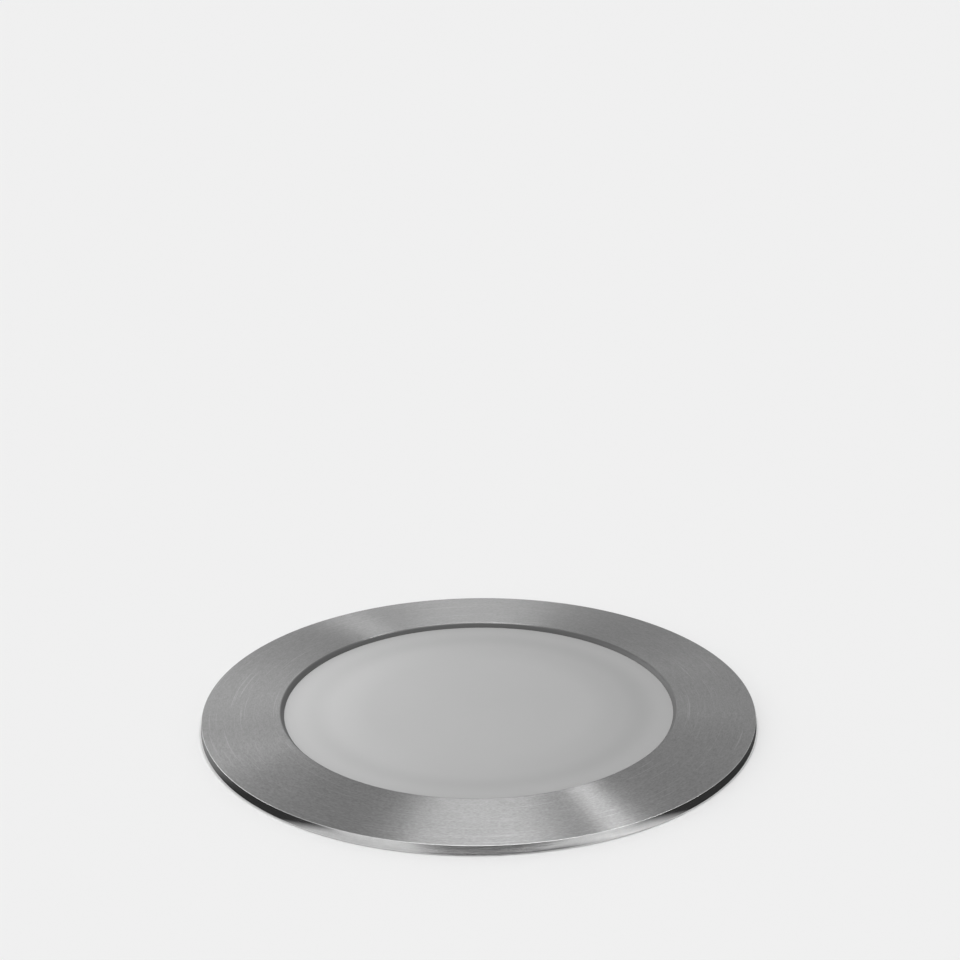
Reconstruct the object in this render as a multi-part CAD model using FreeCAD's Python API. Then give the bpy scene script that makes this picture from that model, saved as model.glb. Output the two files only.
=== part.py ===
"""In ground well light: a sealed lamp unit under a turned steel ring, standing in a buried sleeve.

Millimetres, +Z up. The origin is the centre of the ground plane, which is the underside of the
ring's flange, so the ring stands just above z = 0 and everything else hangs below it.
"""
import FreeCAD, Part
import math
import os
from FreeCAD import Vector

# ---- trim ring and glass, as they show from above
opening_radius = 53.2
flange_width = 21.8         # from the opening out to the foot of the ring's polished edge
edge_height = 2.4           # from the ground up to the ring's outer top edge
edge_lean = 0.65            # how far the polished edge leans in on its way up
dish_rise = 1.3             # the ring's top climbs this much from its outer edge to the opening
opening_bevel = 0.35
lens_recess = 1.2           # from the opening's edge down to the glass
lens_bearing = 3.8          # how far the glass reaches out under the ring's lip
lens_thickness = 8.0
lens_chamfer = 0.5

# ---- how the glass is clamped and sealed
lens_side_clearance = 0.5
lens_gasket_thickness = 3.0
lens_gasket_width = 5.5
collar_wall = 5.5           # the ring's collar, which the lamp body is screwed to
collar_engagement = 5.6     # the body's spigot reaches this far up into the collar
spigot_clearance = 0.2
o_ring_section = 2.0        # diameter of the body seal's cord
o_ring_squeeze = 0.25       # the groove is this much shallower than the cord is thick
o_ring_side_clearance = 0.1
o_ring_corner = 0.6         # the pressed cord's corners are cut off this far

# ---- lamp body, a die casting with fins
body_flange_thickness = 5.0
fin_depth = 9.0             # from the barrel out to the fins' tips
barrel_wall = 3.0
optic_chamber_depth = 28.0  # from the body's top land down to the web
web_thickness = 5.0
driver_chamber_depth = 21.0
rear_flange_width = 7.0     # how far the rear flange stands out of the barrel
rear_flange_thickness = 8.0
fin_count = 36
fin_root_thickness = 2.4
fin_tip_thickness = 1.5
fin_slant = 4.0             # the fins' cut-back rises this many times as far as it comes in
fin_tip_clearance = 1.0     # between the fins' tips and the ring screws' heads
spring_count = 3
pad_half_angle = 16.0       # the fins stop this far on each side of a spring's pad, in degrees
spring_pad_margin = 1.5     # the pad's width beyond its spring, on each side
casting_bevel = 1.0

# ---- screws: one size of socket head, in several lengths
screw_radius = 1.5
tapped_radius = 1.5         # a tapped hole, drawn at the screw's own radius
screw_hole_radius = 1.7
head_radius = 2.75
head_height = 3.0
head_bevel = 0.3
socket_width = 2.5          # across flats
ring_screw_count = 6
ring_screw_bite = 6.0
rear_screw_count = 6
rear_screw_bite = 5.0
rear_head_inset = 1.5       # from the rear flange's edge in to the screws' heads
board_screw_count = 3
board_screw_bite = 3.0
tapped_spare = 0.8          # a tapped hole runs on this far past the screw's end

# ---- light source
reflector_wall = 1.2
reflector_mouth_clearance = 0.3
reflector_foot_inset = 1.0  # the bowl's foot stands this far inside the board's edge
reflector_seat_width = 3.4
reflector_foot_gap = 0.4    # from the leads up to the bowl's foot
board_radius = 25.0
board_thickness = 1.6
thermal_pad_thickness = 0.5
board_screw_inset = 5.0     # from the board's edge in to its screws
board_screw_turn = 30.0     # turns the board's screws away from its wires
led_size = 3.5
led_height = 0.8
led_dome_inset = 0.3        # from the package's side in to its lens
led_dome_bevel = 0.4
led_outer_count = 9
led_spare = 1.8             # between the outer ring of packages and the board's screw heads
led_inner_count = 3
led_inner_circle = 5.5
led_inner_turn = 30.0

# ---- driver and its leads
driver_length = 50.0
driver_width = 34.0
driver_height = 14.0
driver_round = 2.0
driver_ear = 8.0
driver_ear_thickness = 2.5
driver_screw_bite = 3.0
lead_radius = 0.8
lead_bend = 2.5
lead_spacing = 3.0
lead_end = 1.0              # the leads end this far in over the board's edge
grommet_radius = 5.0
grommet_spare = 3.0         # between the board's edge and the grommet's lip
grommet_groove = 1.2
grommet_lip = 1.0

# ---- rear cap, its gland and its vent
rear_gasket_thickness = 1.0
rear_cap_thickness = 4.0
gland_spare = 1.8           # between the gland's nut and the cap's centring rim
cap_rim_height = 3.0
cap_rim_wall = 2.0
gland_thread_radius = 7.9
gland_thread_spare = 1.0    # how far the thread stands past its locknut
gland_step = 1.2            # the seal stands on a step of this width in the gland's bore
gland_nut_lip = 1.0         # the nut's mouth is this much wider than the cable, all round
gland_nut_dome = 5.5
gland_hex = 20.0            # across flats
gland_hex_height = 5.0
gland_nut_height = 13.0
gland_seal_wall = 2.6
gland_locknut_height = 3.5
gland_o_ring_section = 1.6
cable_radius = 4.0          # the cable that the gland's seal is made for
cable_clearance = 0.1
vent_spare = 4.5
vent_angle = 35.0
vent_thread_radius = 5.9
vent_hex = 15.0
vent_head_height = 4.0
vent_thread_spare = 1.5
vent_lid_inset = 0.6
vent_slot_width = 1.2
vent_slot_count = 3
thread_clearance = 0.1

# ---- leaf springs that hold the lamp unit in the sleeve
spring_width = 9.0
spring_thickness = 0.8
spring_tab = 9.0
spring_wall_gap = 0.3       # the crown's gap to the sleeve's wall
spring_drop = 1.0           # from the body's flange down to the spring's tab
spring_tail_rise = 1.5      # from the fins' foot up to the spring's free end
spring_tail_gap = 0.3       # from the pad out to the spring's free end
spring_screw_bite = 3.0

# ---- buried sleeve
sleeve_clearance = 1.0      # between the collar and the sleeve's wall
sleeve_wall = 3.5
sleeve_height = 112.0
rim_ledge_width = 2.0
seat_gasket_thickness = 1.5
seat_gasket_clearance = 0.3
anchor_rib_count = 3
anchor_rib_pitch = 9.0
anchor_rib_reach = 3.0
anchor_rib_thickness = 2.0
anchor_rib_top = 55.0       # depth of the first rib
rim_bead = 2.0              # the rim stands this far out of the sleeve's wall
rim_bead_height = 3.0
stiffener_count = 12
stiffener_thickness = 2.0
stiffener_reach = 1.5       # how far the upright ribs stand out of the sleeve's wall
conduit_radius = 10.0
conduit_clearance = 0.2
conduit_stop = 1.6          # the step that the conduit's end meets
hub_wall = 3.0
hub_flange_width = 2.8
hub_flange_thickness = 3.5
hub_spare = 1.0             # from the foot's lip up to the hubs' flanges
hub_stop_length = 2.0
hub_locknut_thickness = 4.0
hub_notch_radius = 1.5
hub_tube_spare = 1.0        # how far the hub's tube stands past its locknut
hub_notch_count = 4
boss_stand = 2.0            # the flat bosses stand this far out of the sleeve's wall
boss_inner_stand = 2.5
base_lip = 9.0              # width of the foot's inward lip, round the open base
base_lip_thickness = 3.0
plug_head = 2.0
plug_shank = 9.0
plug_wall = 1.6
plug_face = 1.0             # thickness of the plug's face behind its head
plug_bevel = 1.0
push_clearance = 0.1

# ---- heights and radii that follow from the sizes above
opening_z = edge_height + dish_rise
lens_top_z = opening_z - lens_recess
lens_bottom_z = lens_top_z - lens_thickness
body_top_z = lens_bottom_z - lens_gasket_thickness
collar_bottom_z = body_top_z - collar_engagement
body_flange_bottom_z = collar_bottom_z - body_flange_thickness
web_top_z = body_top_z - optic_chamber_depth
web_bottom_z = web_top_z - web_thickness
body_bottom_z = web_bottom_z - driver_chamber_depth
cap_top_z = body_bottom_z - rear_gasket_thickness
cap_bottom_z = cap_top_z - rear_cap_thickness
board_bottom_z = web_top_z + thermal_pad_thickness
board_top_z = board_bottom_z + board_thickness
flange_radius = opening_radius + flange_width
edge_top_radius = flange_radius - edge_lean
lens_radius = opening_radius + lens_bearing
collar_inner_radius = lens_radius + lens_side_clearance
collar_outer_radius = collar_inner_radius + collar_wall
ring_screw_circle = (collar_inner_radius + collar_outer_radius) / 2
spigot_radius = collar_inner_radius - spigot_clearance
fin_tip_radius = ring_screw_circle - head_radius - fin_tip_clearance
barrel_radius = fin_tip_radius - fin_depth
rear_flange_radius = barrel_radius + rear_flange_width
chamber_radius = barrel_radius - barrel_wall
seat_radius = chamber_radius + reflector_seat_width
gasket_inner_radius = lens_radius - lens_gasket_width
rear_screw_circle = barrel_radius + rear_flange_width - head_radius - rear_head_inset
reflector_mouth_radius = chamber_radius - reflector_wall - reflector_mouth_clearance
reflector_foot_radius = board_radius - reflector_foot_inset
board_screw_circle = board_radius - board_screw_inset
led_outer_circle = board_screw_circle - head_radius - led_spare - led_size / math.sqrt(2)
lead_circle = board_radius + grommet_spare + grommet_radius
lead_high_z = max(board_top_z + lead_radius, web_top_z + grommet_lip + lead_bend)
reflector_foot_z = lead_high_z + lead_radius + reflector_foot_gap
cap_rim_radius = chamber_radius - spigot_clearance
cap_rim_inner_radius = cap_rim_radius - cap_rim_wall
gland_offset = cap_rim_inner_radius - gland_hex / math.sqrt(3) - gland_spare
vent_offset = cap_rim_inner_radius - vent_hex / math.sqrt(3) - vent_spare
fin_top_z = body_flange_bottom_z
fin_bottom_z = body_bottom_z + rear_flange_thickness
spring_pad_radius = barrel_radius + spring_screw_bite + tapped_spare
sleeve_inner_radius = collar_outer_radius + sleeve_clearance
sleeve_outer_radius = sleeve_inner_radius + sleeve_wall
hub_bore_radius = conduit_radius + conduit_clearance
hub_tube_radius = hub_bore_radius + hub_wall
hub_flange_radius = hub_tube_radius + hub_flange_width
hub_z = -sleeve_height + base_lip_thickness + hub_spare + hub_flange_radius
boss_outer_x = sleeve_outer_radius + boss_stand
boss_inner_x = sleeve_inner_radius - boss_inner_stand
hub_end = boss_outer_x + hub_flange_thickness
hub_inner_x = boss_inner_x - hub_locknut_thickness - hub_tube_spare

Z_AXIS = Vector(0, 0, 1)
ORIGIN = Vector(0, 0, 0)


def turned(*points):
    """A solid of revolution about Z from its (radius, height) outline."""
    outline = [Vector(radius, 0, height) for radius, height in points]
    return Part.Face(Part.makePolygon(outline + outline[:1])).revolve(ORIGIN, Z_AXIS, 360)


def washer(inner, outer, bottom, top):
    return turned((inner, bottom), (outer, bottom), (outer, top), (inner, top))


def bevelled(solid, width, *circles):
    """Chamfer the edges that are circles about Z, each named by its (radius, height)."""
    edges = [edge for edge in solid.Edges if any(is_circle(edge, r, z) for r, z in circles)]
    return solid.makeChamfer(width, edges)


def is_circle(edge, radius, height):
    if not isinstance(edge.Curve, Part.Circle):
        return False
    centre = edge.Curve.Center
    on_axis = math.hypot(centre.x, centre.y) < 0.01
    return on_axis and abs(edge.Curve.Radius - radius) < 0.01 and abs(centre.z - height) < 0.01


def turn(solid, degrees):
    copy = solid.copy()
    copy.rotate(ORIGIN, Z_AXIS, degrees)
    return copy


def around(solid, count, start=0.0):
    """Copies of a solid, evenly spaced about Z."""
    return [turn(solid, start + step * 360.0 / count) for step in range(count)]


def on_circle(radius, degrees, height):
    angle = math.radians(degrees)
    return Vector(radius * math.cos(angle), radius * math.sin(angle), height)


def drill(radius, place, depth):
    """A drill's space: up from place where depth is positive, down where it is negative."""
    return Part.makeCylinder(radius, abs(depth), place, Vector(0, 0, math.copysign(1, depth)))


def hexagon(across_flats, bottom, height):
    corner = across_flats / math.sqrt(3)
    points = [on_circle(corner, 60 * step, bottom) for step in range(7)]
    return Part.Face(Part.makePolygon(points)).extrude(Vector(0, 0, height))


def socket_screw(length):
    """A socket head screw whose head sits on z = 0 and whose shank points down."""
    head = bevelled(washer(0, head_radius, 0, head_height), head_bevel, (head_radius, head_height))
    shank = washer(0, screw_radius, -length, 0)
    return head.fuse(shank).cut(hexagon(socket_width, head_height / 2, head_height)).removeSplitter()


def placed(solid, place, axis=Z_AXIS):
    """A copy of a solid drawn at the origin, moved to place with its Z turned to axis."""
    copy = solid.copy()
    copy.Placement = FreeCAD.Placement(place, FreeCAD.Rotation(Z_AXIS, axis))
    return copy


def export(name, *solids):
    shape = solids[0] if len(solids) == 1 else Part.makeCompound(list(solids))
    for solid in shape.Solids:
        if not solid.isValid() or solid.Volume <= 0:
            raise ValueError(name + " has a bad solid")
    shape.exportStep("parts/" + name + ".step")
    print(f"{name}: {len(shape.Solids)} solid(s), {shape.Volume / 1000:.2f} cm3")


# ---- the clamped glass

def ring_screw_places():
    return [360.0 / ring_screw_count * (step + 0.5) for step in range(ring_screw_count)]


def trim_ring():
    """One turning: a low conical flange, a thin lip over the glass, and a collar below ground."""
    ring = turned(
        (flange_radius, 0),
        (edge_top_radius, edge_height),
        (opening_radius, opening_z),
        (opening_radius, lens_top_z),
        (collar_inner_radius, lens_top_z),
        (collar_inner_radius, collar_bottom_z),
        (collar_outer_radius, collar_bottom_z),
        (collar_outer_radius, 0),
    )
    ring = bevelled(ring, opening_bevel, (opening_radius, opening_z))
    depth = ring_screw_bite + tapped_spare
    for degrees in ring_screw_places():
        mouth = on_circle(ring_screw_circle, degrees, collar_bottom_z)
        ring = ring.cut(drill(tapped_radius, mouth, depth))
    return ring


def lens_glass():
    disc = washer(0, lens_radius, lens_bottom_z, lens_top_z)
    return bevelled(disc, lens_chamfer, (lens_radius, lens_bottom_z), (lens_radius, lens_top_z))


def lens_gasket():
    return washer(gasket_inner_radius, lens_radius, body_top_z, lens_bottom_z)


def body_o_ring():
    """Pressed to the shape of its groove: as deep as the groove and the spigot's gap allow."""
    middle_z = body_top_z - collar_engagement / 2
    depth = o_ring_section - o_ring_squeeze
    inner = collar_inner_radius - depth
    low_z = middle_z - o_ring_section / 2
    high_z = middle_z + o_ring_section / 2
    ring = washer(inner, collar_inner_radius, low_z, high_z)
    corners = [(radius, z) for radius in (inner, collar_inner_radius) for z in (low_z, high_z)]
    return bevelled(ring, o_ring_corner, *corners)


# ---- lamp body

def body_shell():
    """The casting's turned form: spigot, screw flange, barrel with its web, and rear flange."""
    middle_z = body_top_z - collar_engagement / 2
    groove = o_ring_section / 2 + o_ring_side_clearance
    groove_radius = collar_inner_radius - o_ring_section + o_ring_squeeze
    shell = turned(
        (0, web_bottom_z),
        (chamber_radius, web_bottom_z),
        (chamber_radius, body_bottom_z),
        (rear_flange_radius, body_bottom_z),
        (rear_flange_radius, fin_bottom_z),
        (barrel_radius, fin_bottom_z),
        (barrel_radius, fin_top_z),
        (collar_outer_radius, fin_top_z),
        (collar_outer_radius, collar_bottom_z),
        (spigot_radius, collar_bottom_z),
        (spigot_radius, middle_z - groove),
        (groove_radius, middle_z - groove),
        (groove_radius, middle_z + groove),
        (spigot_radius, middle_z + groove),
        (spigot_radius, body_top_z),
        (seat_radius, body_top_z),
        (seat_radius, body_top_z - reflector_wall),
        (chamber_radius, body_top_z - reflector_wall),
        (chamber_radius, web_top_z),
        (0, web_top_z),
    )
    return bevelled(shell, casting_bevel, (barrel_radius, fin_top_z), (barrel_radius, fin_bottom_z))


def fin():
    """One cooling fin: thicker at its root, and cut back at a slant towards the rear flange."""
    root = barrel_radius - barrel_wall / 2
    plan = [(root, -fin_root_thickness / 2), (fin_tip_radius, -fin_tip_thickness / 2),
            (fin_tip_radius, fin_tip_thickness / 2), (root, fin_root_thickness / 2)]
    points = [Vector(x, y, fin_bottom_z) for x, y in plan]
    blade = Part.Face(Part.makePolygon(points + points[:1]))
    blade = blade.extrude(Vector(0, 0, fin_top_z - fin_bottom_z))
    slant = fin_tip_radius - rear_flange_radius
    waste = [Vector(rear_flange_radius, -fin_root_thickness, fin_bottom_z),
             Vector(fin_tip_radius, -fin_root_thickness, fin_bottom_z),
             Vector(fin_tip_radius, -fin_root_thickness, fin_bottom_z + fin_slant * slant)]
    waste = Part.Face(Part.makePolygon(waste + waste[:1]))
    return blade.cut(waste.extrude(Vector(0, 2 * fin_root_thickness, 0)))


def spring_places():
    return [90.0 + 360.0 / spring_count * step for step in range(spring_count)]


def beside_spring(degrees):
    gaps = [abs((degrees - place + 180) % 360 - 180) for place in spring_places()]
    return min(gaps) < pad_half_angle


def spring_pad():
    """A flat pad on the barrel that a leaf spring is screwed to, drawn at angle 0."""
    depth = spring_pad_radius - barrel_radius + barrel_wall / 2
    width = spring_width + 2 * spring_pad_margin
    corner = Vector(spring_pad_radius - depth, -width / 2, fin_bottom_z)
    return Part.makeBox(depth, width, fin_top_z - fin_bottom_z, corner)


def lamp_body():
    step = 360.0 / fin_count
    angles = [step * (count + 0.5) for count in range(fin_count)]
    fins = [turn(fin(), degrees) for degrees in angles if not beside_spring(degrees)]
    pads = [turn(spring_pad(), degrees) for degrees in spring_places()]
    body = body_shell().multiFuse(fins + pads)
    return body.cut(Part.makeCompound(body_holes())).removeSplitter()


def body_holes():
    holes = []
    for degrees in ring_screw_places():
        low = on_circle(ring_screw_circle, degrees, fin_top_z)
        holes.append(drill(screw_hole_radius, low, body_flange_thickness))
    for degrees in rear_screw_places():
        low = on_circle(rear_screw_circle, degrees, body_bottom_z)
        holes.append(drill(tapped_radius, low, rear_screw_bite + tapped_spare))
    for degrees in board_screw_places():
        top = on_circle(board_screw_circle, degrees, web_top_z)
        holes.append(drill(tapped_radius, top, -board_screw_bite - tapped_spare))
    for side in (-1, 1):
        low = Vector(side * driver_screw_x(), 0, web_bottom_z)
        holes.append(drill(tapped_radius, low, driver_screw_bite + tapped_spare))
    holes.append(drill(grommet_radius - grommet_groove, Vector(0, lead_circle, web_bottom_z), web_thickness))
    bore = drill(tapped_radius, ORIGIN, -spring_screw_bite - tapped_spare)
    for degrees in spring_places():
        mouth = on_circle(spring_pad_radius, degrees, spring_screw_z())
        holes.append(placed(bore, mouth, on_circle(1, degrees, 0)))
    return holes


def rear_screw_places():
    return [360.0 / rear_screw_count * step for step in range(rear_screw_count)]


def board_screw_places():
    return [board_screw_turn + 360.0 / board_screw_count * step for step in range(board_screw_count)]


def ring_screws():
    screw = socket_screw(body_flange_thickness + ring_screw_bite)
    screw.rotate(ORIGIN, Vector(1, 0, 0), 180)
    return [placed_at(screw, on_circle(ring_screw_circle, degrees, fin_top_z))
            for degrees in ring_screw_places()]


def placed_at(solid, place):
    copy = solid.copy()
    copy.translate(place)
    return copy


# ---- light source

def reflector():
    """A conical bowl with a flat rim that lies on the body's seat, under the gasket's inner edge."""
    rim_radius = seat_radius - spigot_clearance
    rim_low = body_top_z - reflector_wall
    return turned(
        (reflector_mouth_radius, body_top_z),
        (reflector_foot_radius, reflector_foot_z),
        (reflector_foot_radius + reflector_wall, reflector_foot_z),
        (reflector_mouth_radius + reflector_wall, rim_low - reflector_wall),
        (reflector_mouth_radius + reflector_wall, rim_low),
        (rim_radius, rim_low),
        (rim_radius, body_top_z),
    )


def thermal_pad():
    pad = washer(0, board_radius, web_top_z, board_bottom_z)
    places = [on_circle(board_screw_circle, degrees, web_top_z) for degrees in board_screw_places()]
    holes = [drill(screw_hole_radius, place, thermal_pad_thickness) for place in places]
    return pad.cut(Part.makeCompound(holes))


def led_board():
    board = washer(0, board_radius, board_bottom_z, board_top_z)
    holes = [drill(screw_hole_radius, on_circle(board_screw_circle, degrees, board_bottom_z), board_thickness)
             for degrees in board_screw_places()]
    return board.cut(Part.makeCompound(holes))


def board_screws():
    screw = socket_screw(board_thickness + thermal_pad_thickness + board_screw_bite)
    return [placed_at(screw, on_circle(board_screw_circle, degrees, board_top_z))
            for degrees in board_screw_places()]


def leds():
    """Square packages with a shallow domed lens, in two rings on the board."""
    package = Part.makeBox(led_size, led_size, led_height / 2, Vector(-led_size / 2, -led_size / 2, 0))
    radius = led_size / 2 - led_dome_inset
    dome = bevelled(washer(0, radius, 0, led_height), led_dome_bevel / 2, (radius, led_height))
    led = package.fuse(dome)
    led = placed_at(led, Vector(0, 0, board_top_z))
    outer = around(placed_at(led, Vector(led_outer_circle, 0, 0)), led_outer_count)
    inner = around(placed_at(led, Vector(led_inner_circle, 0, 0)), led_inner_count, led_inner_turn)
    return outer + inner


# ---- driver and leads

def driver_screw_x():
    return driver_length / 2 + driver_ear / 2


def driver():
    corner = Vector(-driver_length / 2, -driver_width / 2, web_bottom_z - driver_height)
    case = Part.makeBox(driver_length, driver_width, driver_height, corner)
    upright = [edge for edge in case.Edges if edge.BoundBox.ZLength > driver_height / 2]
    case = case.makeFillet(driver_round, upright)
    length = driver_length + 2 * driver_ear
    corner = Vector(-length / 2, -driver_ear / 2, web_bottom_z - driver_ear_thickness)
    ears = Part.makeBox(length, driver_ear, driver_ear_thickness, corner)
    case = case.fuse(ears)
    for side in (-1, 1):
        low = Vector(side * driver_screw_x(), 0, web_bottom_z - driver_ear_thickness)
        case = case.cut(drill(screw_hole_radius, low, driver_ear_thickness))
    return case.removeSplitter()


def driver_screws():
    screw = socket_screw(driver_ear_thickness + driver_screw_bite)
    screw.rotate(ORIGIN, Vector(1, 0, 0), 180)
    seat_z = web_bottom_z - driver_ear_thickness
    return [placed_at(screw, Vector(side * driver_screw_x(), 0, seat_z)) for side in (-1, 1)]


def lead_grommet():
    """A rubber bush in the web, with a lip above and below and a bore for each lead."""
    bore = grommet_radius - grommet_groove
    bush = turned(
        (0, web_bottom_z - grommet_lip), (grommet_radius, web_bottom_z - grommet_lip),
        (grommet_radius, web_bottom_z), (bore, web_bottom_z), (bore, web_top_z),
        (grommet_radius, web_top_z), (grommet_radius, web_top_z + grommet_lip), (0, web_top_z + grommet_lip),
    )
    low = web_bottom_z - grommet_lip
    height = web_thickness + 2 * grommet_lip
    for side in (-1, 1):
        bush = bush.cut(drill(lead_radius, Vector(side * lead_spacing / 2, 0, low), height))
    return placed_at(bush, Vector(0, lead_circle, 0))


def lead(x):
    """One lead: out of the driver's side, up through the grommet, and in over the board's edge."""
    low_z = web_bottom_z - driver_height / 2
    start = Vector(x, driver_width / 2, low_z)
    low_corner = Vector(x, lead_circle, low_z)
    high_corner = Vector(x, lead_circle, lead_high_z)
    end = Vector(x, board_radius - lead_end, lead_high_z)
    y_step = Vector(0, lead_bend, 0)
    z_step = Vector(0, 0, lead_bend)
    turn_share = lead_bend * (1 - math.sqrt(0.5))
    low_middle = low_corner + Vector(0, -turn_share, turn_share)
    high_middle = high_corner + Vector(0, -turn_share, -turn_share)
    path = Part.Wire([
        Part.LineSegment(start, low_corner - y_step).toShape(),
        Part.Arc(low_corner - y_step, low_middle, low_corner + z_step).toShape(),
        Part.LineSegment(low_corner + z_step, high_corner - z_step).toShape(),
        Part.Arc(high_corner - z_step, high_middle, high_corner - y_step).toShape(),
        Part.LineSegment(high_corner - y_step, end).toShape(),
    ])
    section = Part.Wire(Part.makeCircle(lead_radius, start, Vector(0, 1, 0)))
    return path.makePipeShell([section], True, False)


def led_leads():
    return [lead(side * lead_spacing / 2) for side in (-1, 1)]


# ---- rear cap

def gland_place(height):
    return Vector(0, -gland_offset, height)


def vent_place(height):
    return on_circle(vent_offset, vent_angle, height)


def rear_gasket():
    ring = washer(chamber_radius, rear_flange_radius, cap_top_z, body_bottom_z)
    holes = [drill(screw_hole_radius, on_circle(rear_screw_circle, degrees, cap_top_z), rear_gasket_thickness)
             for degrees in rear_screw_places()]
    return ring.cut(Part.makeCompound(holes))


def rear_cap():
    """A turned cover with a centring rim inside the barrel, a screw ring, and two threaded holes."""
    rim_top = cap_top_z + cap_rim_height
    cap = turned(
        (0, cap_bottom_z), (rear_flange_radius, cap_bottom_z), (rear_flange_radius, cap_top_z),
        (cap_rim_radius, cap_top_z), (cap_rim_radius, rim_top), (cap_rim_inner_radius, rim_top),
        (cap_rim_inner_radius, cap_top_z), (0, cap_top_z),
    )
    cap = bevelled(cap, casting_bevel, (rear_flange_radius, cap_bottom_z))
    holes = [drill(screw_hole_radius, on_circle(rear_screw_circle, degrees, cap_bottom_z), rear_cap_thickness)
             for degrees in rear_screw_places()]
    holes.append(drill(gland_thread_radius + thread_clearance, gland_place(cap_bottom_z), rear_cap_thickness))
    holes.append(drill(vent_thread_radius + thread_clearance, vent_place(cap_bottom_z), rear_cap_thickness))
    return cap.cut(Part.makeCompound(holes))


def rear_cap_screws():
    screw = socket_screw(rear_cap_thickness + rear_gasket_thickness + rear_screw_bite)
    screw.rotate(ORIGIN, Vector(1, 0, 0), 180)
    return [placed_at(screw, on_circle(rear_screw_circle, degrees, cap_bottom_z))
            for degrees in rear_screw_places()]


def gland_bore():
    return cable_radius + cable_clearance


def gland_o_ring():
    inner = gland_thread_radius + thread_clearance
    outer = inner + gland_o_ring_section
    ring = washer(inner, outer, cap_bottom_z - gland_o_ring_section, cap_bottom_z)
    return placed_at(ring, gland_place(0))


def gland_body():
    """A threaded tube through the cap, with its hexagon outside and a cup for the seal below."""
    hex_top = cap_bottom_z - gland_o_ring_section
    hex_bottom = hex_top - gland_hex_height
    bore = gland_bore() + gland_seal_wall
    tube_top = cap_top_z + gland_locknut_height + gland_thread_spare
    tube = washer(bore - gland_step, gland_thread_radius, hex_top, tube_top)
    collar = hexagon(gland_hex, hex_bottom, gland_hex_height)
    cup = washer(bore, gland_thread_radius, hex_bottom - gland_nut_height * 0.6, hex_bottom)
    body = tube.fuse([collar, cup])
    body = body.cut(drill(bore - gland_step, Vector(0, 0, hex_bottom), gland_hex_height))
    return placed_at(body.removeSplitter(), gland_place(0))


def gland_seal():
    hex_bottom = cap_bottom_z - gland_o_ring_section - gland_hex_height
    bore = gland_bore()
    seal = washer(bore, bore + gland_seal_wall, hex_bottom - gland_nut_height * 0.75, hex_bottom)
    return placed_at(seal, gland_place(0))


def gland_nut():
    """A domed hexagon cap that squeezes the seal on the cable."""
    top = cap_bottom_z - gland_o_ring_section - gland_hex_height
    bottom = top - gland_nut_height
    mouth = gland_bore() + gland_nut_lip
    nut = hexagon(gland_hex, bottom, gland_nut_height)
    corner = gland_hex / math.sqrt(3)
    shoulder = (mouth + gland_nut_lip + corner) / 2 + gland_nut_lip
    dome = turned((0, bottom), (mouth + gland_nut_lip, bottom), (shoulder, bottom + gland_nut_dome / 3),
                  (corner, bottom + gland_nut_dome), (corner, top), (0, top))
    nut = nut.common(dome)
    hollow = washer(0, gland_thread_radius + thread_clearance, bottom + gland_nut_height * 0.25, top)
    nut = nut.cut(hollow).cut(drill(mouth, Vector(0, 0, bottom), gland_nut_height))
    return placed_at(nut, gland_place(0))


def gland_locknut():
    nut = hexagon(gland_hex, cap_top_z, gland_locknut_height)
    bore = drill(gland_thread_radius + thread_clearance, Vector(0, 0, cap_top_z), gland_locknut_height)
    nut = nut.cut(bore)
    return placed_at(nut, gland_place(0))


def breather_vent():
    """A pressure equalising plug: threaded shank, hexagon, and a slotted cap over its membrane."""
    shank = washer(0, vent_thread_radius, cap_bottom_z, cap_top_z + vent_thread_spare)
    bottom = cap_bottom_z - vent_head_height
    collar = hexagon(vent_hex, bottom + vent_head_height / 2, vent_head_height / 2)
    lid = washer(0, vent_hex / 2 - vent_lid_inset, bottom, bottom + vent_head_height / 2)
    plug = shank.fuse([collar, lid])
    corner = Vector(-vent_hex / 2, -vent_slot_width / 2, bottom)
    slot = Part.makeBox(vent_hex, vent_slot_width, vent_head_height / 4, corner)
    for step in range(vent_slot_count):
        plug = plug.cut(turn(slot, step * 180.0 / vent_slot_count))
    return placed_at(plug.removeSplitter(), vent_place(0))


# ---- leaf springs

def spring_screw_z():
    return fin_top_z - spring_drop - spring_tab / 2


def spring_crown_x():
    """How far out the strip's face may stand, so that its two edges keep the gap to the sleeve."""
    edge_reach = sleeve_inner_radius - spring_wall_gap
    return math.sqrt(edge_reach ** 2 - (spring_width / 2) ** 2)


def leaf_spring():
    """A bowed strip: a flat tab on the pad, and a bow whose crown stands just off the sleeve."""
    face = spring_pad_radius
    tab_bottom = fin_top_z - spring_drop - spring_tab
    tail = fin_bottom_z + spring_tail_rise
    start = Vector(face, 0, tab_bottom)
    crown = Vector(spring_crown_x() - spring_thickness, 0, (tab_bottom + tail) / 2)
    end = Vector(face + spring_tail_gap, 0, tail)
    inner = Part.Arc(start, crown, end).toShape()
    centre = inner.Curve.Center
    outer_radius = inner.Curve.Radius + spring_thickness
    outer_points = [centre + (point - centre).normalize() * outer_radius for point in (end, crown, start)]
    outer = Part.Arc(*outer_points).toShape()
    sides = [Part.makeLine(end, outer_points[0]), Part.makeLine(outer_points[2], start)]
    bow = Part.Face(Part.Wire([inner, sides[0], outer, sides[1]]))
    bow = bow.extrude(Vector(0, spring_width, 0))
    tab = Part.makeBox(spring_thickness, spring_width, spring_tab, Vector(face, 0, tab_bottom))
    strip = bow.fuse(tab)
    strip.translate(Vector(0, -spring_width / 2, 0))
    mouth = Vector(face, 0, spring_screw_z())
    hole = Part.makeCylinder(screw_hole_radius, spring_thickness, mouth, Vector(1, 0, 0))
    return strip.cut(hole).removeSplitter()


def leaf_springs():
    return [turn(leaf_spring(), degrees) for degrees in spring_places()]


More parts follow.
